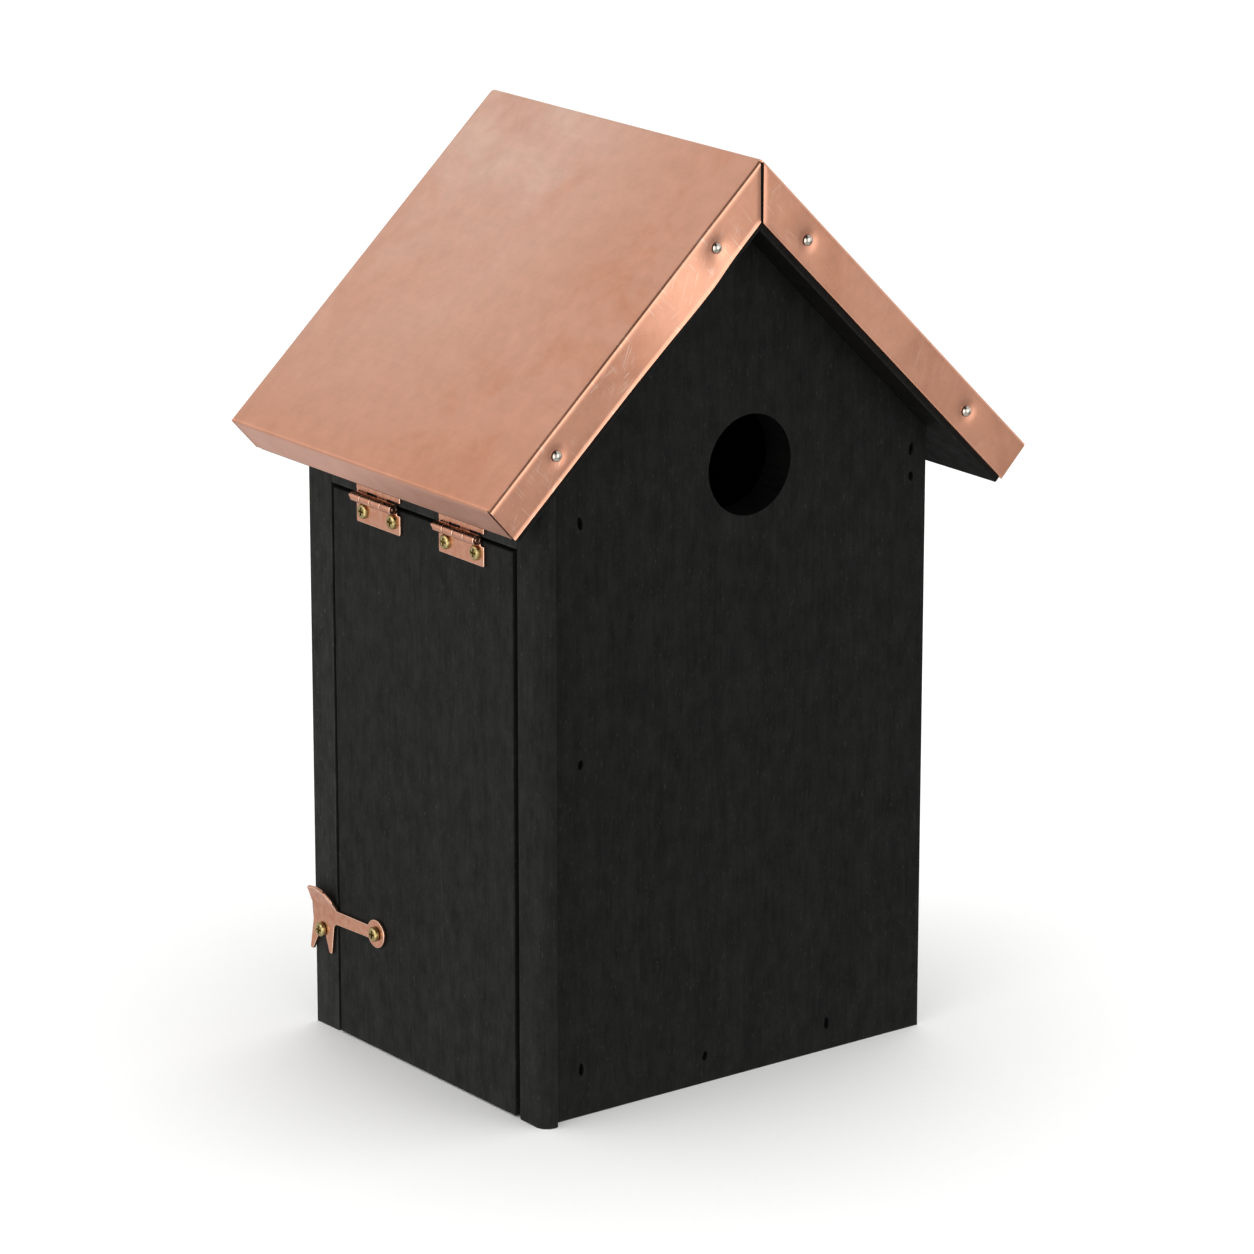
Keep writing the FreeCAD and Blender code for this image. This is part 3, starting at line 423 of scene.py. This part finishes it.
def finished_copy(name, body, material, rim, width, shortest=0.0, reshape=None):
    """A copy of a CAD node with its sharp edges rounded, riding where the node rides.

    The rounded edges get the rim material. reshape may move points before they are rounded.
    """
    mesh = bmesh.new()
    mesh.from_mesh(nodes[name].data)
    bmesh.ops.remove_doubles(mesh, verts=mesh.verts, dist=WELD)
    bmesh.ops.dissolve_limit(mesh, angle_limit=FLAT, verts=mesh.verts, edges=mesh.edges)
    sharp = [e for e in mesh.edges if len(e.link_faces) == 2
             and e.calc_face_angle(0) > SHARP and e.calc_length() >= shortest]
    for face in mesh.faces:
        face.material_index = 0
    if reshape:
        reshape(mesh)
    bmesh.ops.bevel(mesh, geom=sharp, offset=width, segments=2, profile=0.5, affect="EDGES",
                    clamp_overlap=False, material=1)
    for face in mesh.faces:
        face.smooth = True
    for edge in mesh.edges:
        edge.smooth = not (len(edge.link_faces) == 2 and edge.calc_face_angle(0) > SHARP)
    piece = bpy.data.objects.new(name + "_finished", bpy.data.meshes.new(name + "_finished"))
    mesh.to_mesh(piece.data)
    mesh.free()
    if "custom_normal" in piece.data.attributes:
        piece.data.attributes.remove(piece.data.attributes["custom_normal"])
    bpy.context.scene.collection.objects.link(piece)
    piece.data.materials.append(material)
    piece.data.materials.append(rim)
    evened = piece.modifiers.new("even_normals", "WEIGHTED_NORMAL")
    evened.keep_sharp = True
    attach(piece, body)
    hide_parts(name)
    print(f"{name}: {len(sharp)} edges eased by {width / MM:.2f} mm")
    return piece


# %% [markdown]
# ### The front panel's brads and entrance
# A brad that is punched below the surface tears the wood along the grain, so its pit isn't
# round: it is a narrow, slightly leaning slot. The CAD pits are pulled into that shape. The wall
# of the entrance is mostly end grain, which drinks more stain and dries darker than the face, so
# its faces get a material of their own.

# %% Torn pits and the entrance wall
FASTENER_REACH = 5.0 * MM
PIT_REACH = 2.0 * MM
PIT_NARROW, PIT_TALL, PIT_LEAN = 0.78, 1.45, 0.22
TALL_RANGE = 0.2
ENTRANCE = Vector((5.5, 0.0, 198.0)) * MM
ENTRANCE_RADIUS = 16.0 * MM
WALL_REACH = ENTRANCE_RADIUS + 0.5 * MM
SIDEWAYS = 0.2  # a face looks sideways when its normal's Y is smaller than this


def clusters(node_name):
    """The middle of each separate fastener in a CAD node."""
    groups = []
    for vertex in nodes[node_name].data.vertices:
        for group in groups:
            if (group[0] - vertex.co).xz.length < FASTENER_REACH:
                group.append(vertex.co.copy())
                break
        else:
            groups.append([vertex.co.copy()])
    return [sum(g, Vector()) / len(g) for g in groups]


brad_places = clusters("front_panel_brads")


def tear_pits(mesh):
    """Pulls each round pit into a narrow slot that leans to one side or the other.

    2.4 and 3.1 are radians per brad, so that neighbours differ without any chance in it.
    """
    for vertex in mesh.verts:
        for number, brad in enumerate(brad_places):
            part = vertex.co - brad
            if part.xz.length < PIT_REACH and vertex.co.y < brad.y:
                lean = PIT_LEAN * math.sin(2.4 * number)
                tall = PIT_TALL + TALL_RANGE * math.cos(3.1 * number)
                vertex.co.x = brad.x + part.x * PIT_NARROW + part.z * lean
                vertex.co.z = brad.z + part.z * tall
                break


def shape_front_panel(mesh):
    """Tears the brad pits and marks the wall of the entrance as end grain."""
    tear_pits(mesh)
    wall = 0
    for face in mesh.faces:
        middle = face.calc_center_median() - ENTRANCE
        if middle.xz.length < WALL_REACH and abs(face.normal.y) < SIDEWAYS:
            face.material_index = 2  # after the face's and the rim's material
            wall += 1
    print("entrance wall:", wall, "faces")


print("front brads:", len(brad_places))

# %% [markdown]
# ### Boards
# Only a board's long straight edges are eased, and the stain is worn thin there. The rim of the
# entrance stays as crisp as the drill left it.

# %% Boards with eased edges
ARRIS = 0.45 * MM
LONG_EDGE = 5.0 * MM
UPRIGHT_SHIFT, ROOF_SHIFT = 0.61, 0.37  # how far each next board moves the pattern
# The roof boards' colour scale is their stain's take and a painted shade.
ROOF_STAIN_AND_LIGHT = 0.7
boards = {
    # CAD node: body, and its colour scale: the stain's take together with painted light and shade
    "front_panel": ("house", 0.72), "back_panel": ("house", 0.8),
    "right_side_panel": ("house", 0.8), "front_corner_strip": ("house", 1.0),
    "back_corner_strip": ("house", 1.5), "floor_board": ("house", 0.8),
    "front_stop_batten": ("house", 0.6), "back_stop_batten": ("house", 0.6),
    "door_head_rail": ("house", 1.8), "side_door": ("door", 1.0),
}
for number, (name, (body, left)) in enumerate(boards.items()):
    board = finished_copy(name, body, upright_wood, worn_wood, ARRIS,
                          shortest=LONG_EDGE,
                          reshape=shape_front_panel if name == "front_panel" else None)
    board.data.materials.append(end_grain)  # only the front panel has faces that use it
    board["board_shift"] = UPRIGHT_SHIFT * number
    # The board's colour scale: the stain's take and painted light and shade.
    board["stain_left"] = left
for number, name in enumerate(("left_roof_board", "right_roof_board"), start=3):
    board = finished_copy(name, "house", roof_wood, worn_wood, ARRIS,
                          shortest=LONG_EDGE)
    board["board_shift"] = ROOF_SHIFT * number
    board["stain_left"] = ROOF_STAIN_AND_LIGHT

# %% [markdown]
# ### Hinges, hook and hanging plate
# These are pressed from 1 mm plate, so their rims get a much smaller round. The punch burnishes
# the rim, which leaves it smoother than the flat, and the rim's lighter colour is a painted
# highlight.

# %% Pressed plates with eased rims
PUNCHED_RIM = 0.22 * MM
plates = {
    "front_hinge_fixed_leaf": "house", "back_hinge_fixed_leaf": "house",
    "front_hinge_door_leaf": "door", "back_hinge_door_leaf": "door",
    "front_hinge_pin": "house", "back_hinge_pin": "house",
    "latch_hook": "latch", "hanging_plate": "house",
}
for name, body in plates.items():
    finished_copy(name, body, plated_steel, rim_metal_and_highlight, PUNCHED_RIM)

# %% [markdown]
# ### Screws, nails and brads
# The fasteners already have round heads and cross slots in the CAD model, so they keep that
# mesh and only get their metal. Their names say which: brass for screws, dull steel for the
# sunk brads, and nickel for the domed nails.

# %% Fasteners get their metal
for name, node in nodes.items():
    if node.hide_render:
        continue
    if "screw" in name:
        metal = yellow_brass
    elif "brads" in name:
        metal = dull_steel
    elif "nails" in name:
        metal = bright_nickel
    else:
        continue
    for slot in node.material_slots:
        slot.material = metal
    print(name, "->", metal.name)

# %% [markdown]
# ## The copper roof
# The real roof is one sheet. It is folded over the ridge, turned down at both eaves, and its
# front and back ends are turned down over the roof boards as flaps, with a slit at the apex
# where the two flaps would otherwise overlap. It could be boxes with a copper finish, but then
# every fold would be a hard line. Instead the outer skin is built as one surface whose folds
# are small arcs, and the Solidify modifier gives it the sheet's thickness inwards.

# %% The folded sheet's measures
SHEET = 0.6 * MM
FOLD = 1.1 * MM  # the radius of every fold, outside
HEM = 13.8 * MM  # how far the hems and flaps turn down
SLIT = 1.3 * MM
CORNER_GAP = 0.9 * MM  # how far an eave hem stops short of the front flap
RIDGE = 296.0 * MM
PITCH = {-1: math.radians(42.5), 1: math.radians(44.5)}  # -1 is the left slope, 1 the right
SLOPE = {-1: 137.5 * MM, 1: 149.5 * MM}
roof_low, roof_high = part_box("copper_roof_sheet")
FRONT, BACK = roof_low.y, roof_high.y
for side, cad_reach in ((-1, -roof_low.x), (1, roof_high.x)):
    reach = SLOPE[side] * math.cos(PITCH[side])
    print("slope", side, "reaches", round(reach / MM, 2), "mm, CAD", round(cad_reach / MM, 2))


def on_slope(side, along, depth, y):
    """The point that far down a slope from the ridge, and that far below the skin."""
    pitch = PITCH[side]
    return Vector((side * (along * math.cos(pitch) - depth * math.sin(pitch)), y,
                   RIDGE - along * math.sin(pitch) - depth * math.cos(pitch)))


def outward(side):
    """The slope's outward direction."""
    return Vector((side * math.sin(PITCH[side]), 0.0, math.cos(PITCH[side])))


# %% [markdown]
# A nail through a loose hem pulls the copper down onto the board and dents it, and the free edge
# springs out between the nails. The nails' places come from the CAD nails. The left front hem
# springs out most, a third of the way down, and the other hems lie nearly flat. The free edges
# have a small burr from the shears, which leans outwards and draws a bright line, and the
# corners beside the apex slit are curled in.

# %% How the hems depart from flat
hem_nails = clusters("front_roof_nails") + clusters("back_roof_nails")
NAIL_PULL, PULLED_IN = 5.0 * MM, -0.20 * MM
DENT_REACH, DENT_DEPTH = 2.7 * MM, 0.28 * MM
RISE_AT, RISE_ABOVE, RISE_BELOW = 41.0 * MM, 13.0 * MM, 24.0 * MM
LEFT_FRONT = (-1, -1)  # side and end
RISE, LEFT_TILT, CLOSING = 0.105, 0.016, 0.050  # millimetres out per millimetre of depth
OTHER_TILT = 0.012
HEM_WAVE, HEM_WAVE_LENGTH = 0.08 * MM, 13.0 * MM
LIP, LIP_FLARE = 0.5 * MM, 0.17 * MM
SLIT_CURL, CURLED_IN = 1.6 * MM, 0.25 * MM
DEEPEST = -0.45 * MM


def spring(side, end, along, depth):
    """How far a hem stands out from its flat place there. end is -1 in front, 1 at the back."""
    here = along / SLOPE[side]
    if (side, end) == LEFT_FRONT:
        width = RISE_ABOVE if along < RISE_AT else RISE_BELOW
        lift = (RISE * math.exp(-((along - RISE_AT) / width) ** 2) + LEFT_TILT
                - CLOSING * here)
    else:
        lift = OTHER_TILT * (math.sin(math.pi * here) ** 2 - 1)
    # Side and end only lead to another part of the noise, so that each hem has its own waves.
    wave = HEM_WAVE * noise.noise(Vector((along / HEM_WAVE_LENGTH, side * 3.1, end * 5.7)))
    out = max(0.0, depth - FOLD) * lift + wave * depth / HEM
    spot = on_slope(side, along, depth, 0.0)
    for nail in hem_nails:
        if nail.y * end > 0:
            gap = (spot - nail).xz.length
            pull = math.exp(-(gap / NAIL_PULL) ** 2)
            out += (PULLED_IN - out) * pull - DENT_DEPTH * math.exp(-(gap / DENT_REACH) ** 4)
    slit = max(0.0, 1.0 - abs(spot.x) / SLIT_CURL)
    return (max(DEEPEST, out - CURLED_IN * slit)
            + LIP_FLARE * max(0.0, (depth - HEM + LIP) / LIP))


print("hem nails:", [[round(v / MM, 1) for v in n] for n in hem_nails])

# %% [markdown]
# Thin sheet is never quite flat either. Long shallow waves bend what the slopes reflect, and
# they fade out towards the folds, which hold the sheet straight.

# %% How the slopes depart from flat
SAG = 0.5 * MM
SAG_DOWN, SAG_ACROSS = 48.0 * MM, 55.0 * MM


def sag(side, along, y):
    """How far the skin departs from flat: less than SAG, and next to nothing at the folds."""
    across = (y - FRONT) / (BACK - FRONT)
    down = along / SLOPE[side]
    free = math.sin(math.pi * min(1, max(0, across))) * math.sin(math.pi * min(1, max(0, down)))
    return SAG * free * noise.noise(Vector((along / SAG_DOWN, y / SAG_ACROSS, side * 2.0)))


middle_sag = [sag(side, SLOPE[side] / 2, 0.0) for side in (-1, 1)]
print("sag in the middle of each slope in mm:", [round(v / MM, 2) for v in middle_sag])

# %% [markdown]
# The skin is laid out as rows of points that are joined into four-sided faces. The points lie
# about a millimetre apart down the slopes, because the dents at the nails are that small.

# %% An empty skin and how to fill it
STATIONS = 130
ON_SLOPE, ON_FLAP, ON_EAVE = range(3)  # the copper's slots
skin = bmesh.new()


def lay_grid(rows, material_index):
    """Joins rows of points, all equally long, into four-sided faces."""
    verts = [[skin.verts.new(p) for p in row] for row in rows]
    for first, second in zip(verts, verts[1:]):
        for i in range(len(first) - 1):
            face = skin.faces.new((first[i], first[i + 1], second[i + 1], second[i]))
            face.material_index = material_index
            face.smooth = True


def stations(side):
    """Even distances down a slope, from the slit to the fold at the eave."""
    start, stop = 0.5 * SLIT / math.cos(PITCH[side]), SLOPE[side] - FOLD
    return [start + (stop - start) * i / STATIONS for i in range(STATIONS + 1)]


print("a point every", round((stations(-1)[1] - stations(-1)[0]) / MM, 2), "mm")

# %% [markdown]
# The first grid covers the ridge fold, both slopes and both eave hems. It is drawn as one
# section from eave to eave, and each point of the section becomes a row from front to back. The
# rows of an eave hem start a little late, which leaves the corner open, as a snip would.

# %% Ridge, slopes and eave hems
ARC_STEPS, EAVE_STEPS, LENGTH_STEPS = 5, 6, 40


def eave_rows(side):
    """The fold at an eave and the hem below it: side, along, in the hem, point."""
    centre = on_slope(side, SLOPE[side] - FOLD, FOLD, 0.0)
    down = Vector((side * math.cos(PITCH[side]), 0.0, -math.sin(PITCH[side])))
    found = []
    for i in range(ARC_STEPS + 1):
        turn = (math.pi / 2) * i / ARC_STEPS
        spoke = outward(side) * math.cos(turn) + down * math.sin(turn)
        found.append((side, None, i > 1, centre + spoke * FOLD))
    for i in range(1, EAVE_STEPS + 1):
        depth = FOLD + (HEM - FOLD) * i / EAVE_STEPS
        found.append((side, None, True, on_slope(side, SLOPE[side], depth, 0.0)))
    return found


def ridge_rows():
    """The fold at the ridge, from the left slope to the right one."""
    half_turn = (math.pi - PITCH[-1] - PITCH[1]) / 2
    centre = Vector((0.0, 0.0, RIDGE - FOLD / math.sin(half_turn)))
    found = []
    for i in range(ARC_STEPS + 1):
        turn = -PITCH[-1] + (PITCH[-1] + PITCH[1]) * i / ARC_STEPS
        spoke = Vector((math.sin(turn), 0.0, math.cos(turn)))
        found.append((0, None, False, centre + spoke * FOLD))
    return found


half = {side: [(side, a, False, None) for a in stations(side)[1:-1]] + eave_rows(side)
        for side in (-1, 1)}
section = half[-1][::-1] + ridge_rows() + half[1]
rows = []
for side, along, in_hem, point in section:
    first, last = FRONT + FOLD + (CORNER_GAP if in_hem else 0.0), BACK - FOLD
    row = []
    for i in range(LENGTH_STEPS + 1):
        y = first + (last - first) * i / LENGTH_STEPS
        if along is None:
            row.append(Vector((point.x, y, point.z)))
        else:
            row.append(on_slope(side, along, 0.0, y) + outward(side) * sag(side, along, y))
    rows.append(row)
lay_grid(rows, ON_SLOPE)
print("rows from eave to eave:", len(rows))

# %% [markdown]
# Four smaller grids are the front and back flaps. They share the slopes' end points, so they are
# truly folded from the same sheet. Near the ridge their points are pushed sideways, so that the
# two flaps of an end meet along the upright slit.

# %% Front and back flaps
FLAP_STEPS = 12


def flap_profile():
    """How far down and how far out each row of a flap lies: the fold, the flat, the lip."""
    found = []
    for i in range(ARC_STEPS + 1):
        turn = math.pi / 2 * i / ARC_STEPS
        found.append((FOLD * (1 - math.cos(turn)), FOLD * math.sin(turn)))
    found += [(FOLD + (HEM - LIP - FOLD) * i / FLAP_STEPS, FOLD)
              for i in range(1, FLAP_STEPS + 1)]
    return found + [(HEM, FOLD)]


for side in (-1, 1):
    marks = stations(side) + [SLOPE[side]]
    for end, y_fold in ((-1, FRONT + FOLD), (1, BACK - FOLD)):
        flap = []
        for depth, out in flap_profile():
            start = (0.5 * SLIT + depth * math.sin(PITCH[side])) / math.cos(PITCH[side])
            row = []
            for mark in marks:
                from_ridge = (mark - marks[0]) / (marks[-1] - marks[0])
                along = mark + (start - marks[0]) * (1 - from_ridge)
                stand = spring(side, end, along, depth)
                row.append(on_slope(side, along, depth, y_fold + end * (out + stand)))
            flap.append(row)
        lay_grid(flap, ON_FLAP)
print("skin with flaps:", len(skin.faces), "faces")

# %% [markdown]
# The faces of the eave hems are found by how far they lie below their slope, because their
# copper looks different from the slopes. Then the grids are welded and get their thickness. The
# sheared edges are marked sharp, so that the shading of the bright edge, whose lighter colour is
# partly a painted highlight, doesn't smear over the flat copper.

# %% One welded sheet with its thickness
SKIN_WELD = 0.01 * MM
RIM_OFFSET = 3
for face in skin.faces:
    middle = face.calc_center_median()
    side = -1 if middle.x < 0 else 1
    height = (middle - on_slope(side, 0.0, 0.0, middle.y)).dot(outward(side))
    if face.material_index == ON_SLOPE and height < -FOLD:
        face.material_index = ON_EAVE
bmesh.ops.remove_doubles(skin, verts=skin.verts, dist=SKIN_WELD)
bmesh.ops.recalc_face_normals(skin, faces=skin.faces)
top = max(skin.faces, key=lambda f: f.calc_center_median().z)
if top.normal.z < 0:
    bmesh.ops.reverse_faces(skin, faces=skin.faces)
for edge in skin.edges:
    edge.smooth = not edge.is_boundary
roof = bpy.data.objects.new("copper_roof", bpy.data.meshes.new("copper_roof"))
skin.to_mesh(roof.data)
skin.free()
bpy.context.scene.collection.objects.link(roof)
# A rim face's slot comes three after its neighbour's, so the edge copper is there three times.
for material in (sheet_copper, hem_copper, eave_copper, edge_copper_and_highlight, edge_copper_and_highlight, edge_copper_and_highlight):
    roof.data.materials.append(material)
thick = roof.modifiers.new("sheet_thickness", "SOLIDIFY")
thick.thickness = SHEET
thick.offset = -1.0
thick.use_even_offset = True
thick.material_offset_rim = RIM_OFFSET
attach(roof, "house")
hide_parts("copper_roof_sheet")
print("copper skin:", len(roof.data.polygons), "faces")

# %% [markdown]
# ## Floor and light
# The birdhouse stands on seamless white paper. Metal shows what is around it, so the light here
# is mostly a surrounding dome, drawn as a studio would build it: an even white tent, a large
# white card on the left and a weaker one on the right, a bright strip at the front, and a dark
# gap between the front and the roof of the tent, which draws the thin dark line along the
# folds. The paper is lit apart, by its own broad light from above, so that it can be nearly
# white while the black boards stay black. It isn't seen in the metal, because the tent is there
# instead.

# %% White paper floor
PAPER_TOOTH = 2.0 * MM
paper, tree = new_material("white_paper")
tooth = add(tree, "TexNoise", {"Vector": add(tree, "TexCoord").outputs["Object"],
                               "Scale": 1 / PAPER_TOOTH, "Detail": 2.0})
shade = add(tree, "MapRange", {0: tooth.outputs["Fac"], 3: 0.97, 4: 1.0})
tone = add(tree, "VectorMath", {0: linear("F4F4F3")[:3], "Scale": shade.outputs[0]},
           operation="SCALE")
shader = add(tree, "BsdfPrincipled", {"Base Color": tone.outputs[0], "Roughness": 0.9,
                                      "Specular IOR Level": 0.1})
add(tree, "OutputMaterial", {0: shader.outputs[0]})

REACH = 9.0  # metres each way, so that its edge stays out of every view
grid = bmesh.new()
bmesh.ops.create_grid(grid, x_segments=8, y_segments=8, size=REACH)
floor = bpy.data.objects.new("paper_floor", bpy.data.meshes.new("paper_floor"))
grid.to_mesh(floor.data)
grid.free()
floor.data.materials.append(paper)
floor.location.z = cad_low.z
floor.visible_glossy = False
floor.visible_diffuse = False
bpy.context.scene.collection.objects.link(floor)
print("floor spans", 2 * REACH, "m at z", round(cad_low.z, 5))

# %% [markdown]
# ### The paper's own light
# Light linking gives a light a collection of receivers, and it shines on nothing else. The wide
# angle of this sun makes the shadow on the paper soft and pale.

# %% The light that only the paper gets
PAPER_LIGHT, PAPER_SPREAD = 1.85, 75  # the spread is in degrees
PAPER_LIGHT_FROM = Vector((0.10, 0.05, 1.0))
lit_alone = bpy.data.collections.new("lit_alone")
lit_alone.objects.link(floor)
overhead = bpy.data.objects.new("paper_light", bpy.data.lights.new("paper_light", "SUN"))
overhead.data.energy = PAPER_LIGHT
overhead.data.angle = math.radians(PAPER_SPREAD)
overhead.rotation_euler = PAPER_LIGHT_FROM.to_track_quat("Z", "Y").to_euler()
overhead.light_linking.receiver_collection = lit_alone
bpy.context.scene.collection.objects.link(overhead)
print("paper light:", PAPER_LIGHT, "over", PAPER_SPREAD, "degrees")

# %% [markdown]
# ### The tent
# Each card, strip or gap is a soft round patch of the dome. It starts at one angle from its
# direction and is full at a smaller one, both given as cosines, and it adds to the tent's even
# light or takes from it.

# %% The tent
LOBES = {
    # name: direction, cosine where it starts, cosine where it is full, strength
    "front_strip": ((0.20, -0.96, 0.12), 0.80, 0.96, 1.30),
    "dark_gap": ((-0.44, -0.22, 0.87), 0.72, 0.92, -0.70),
    "left_card": ((-0.98, -0.05, 0.10), 0.55, 0.90, 1.40),
    "right_card": ((0.95, -0.28, 0.10), 0.88, 0.97, 0.35),
    "low_right": ((0.70, -0.60, -0.38), 0.80, 0.97, -0.31),
    "low_back": ((0.23, 0.76, -0.60), 0.75, 0.95, 0.07),
}
TENT_LOW, TENT_HIGH = 0.62, 0.74
GREY_BELOW, WHITE_ABOVE = -0.4, 0.5  # sines of the heights where it is dimmest and brightest
world = bpy.data.worlds.new("studio_tent")
world.use_nodes = True
bpy.context.scene.world = world
tree = world.node_tree
tree.nodes.clear()
way = add(tree, "TexCoord").outputs["Generated"]
height = add(tree, "SeparateXYZ", {0: way}).outputs[2]
base = add(tree, "MapRange", {0: height, 1: GREY_BELOW, 2: WHITE_ABOVE, 3: TENT_LOW,
                              4: TENT_HIGH})
total = base.outputs[0]
for name, (direction, low, high, strength) in LOBES.items():
    facing = add(tree, "VectorMath", {0: way, 1: Vector(direction).normalized()},
                 operation="DOT_PRODUCT")
    glow = add(tree, "MapRange", {0: facing.outputs["Value"], 1: low, 2: high, 3: 0.0,
                                  4: strength}, interpolation_type="SMOOTHSTEP")
    total = add(tree, "Math", {0: total, 1: glow.outputs[0]}, operation="ADD").outputs[0]
tent = add(tree, "Background", {"Color": WHITE, "Strength": total})
add(tree, "OutputWorld", {0: tent.outputs[0]})
print("tent:", TENT_LOW, "to", TENT_HIGH, "with", ", ".join(LOBES))

bpy.context.scene.view_settings.view_transform = "Standard"
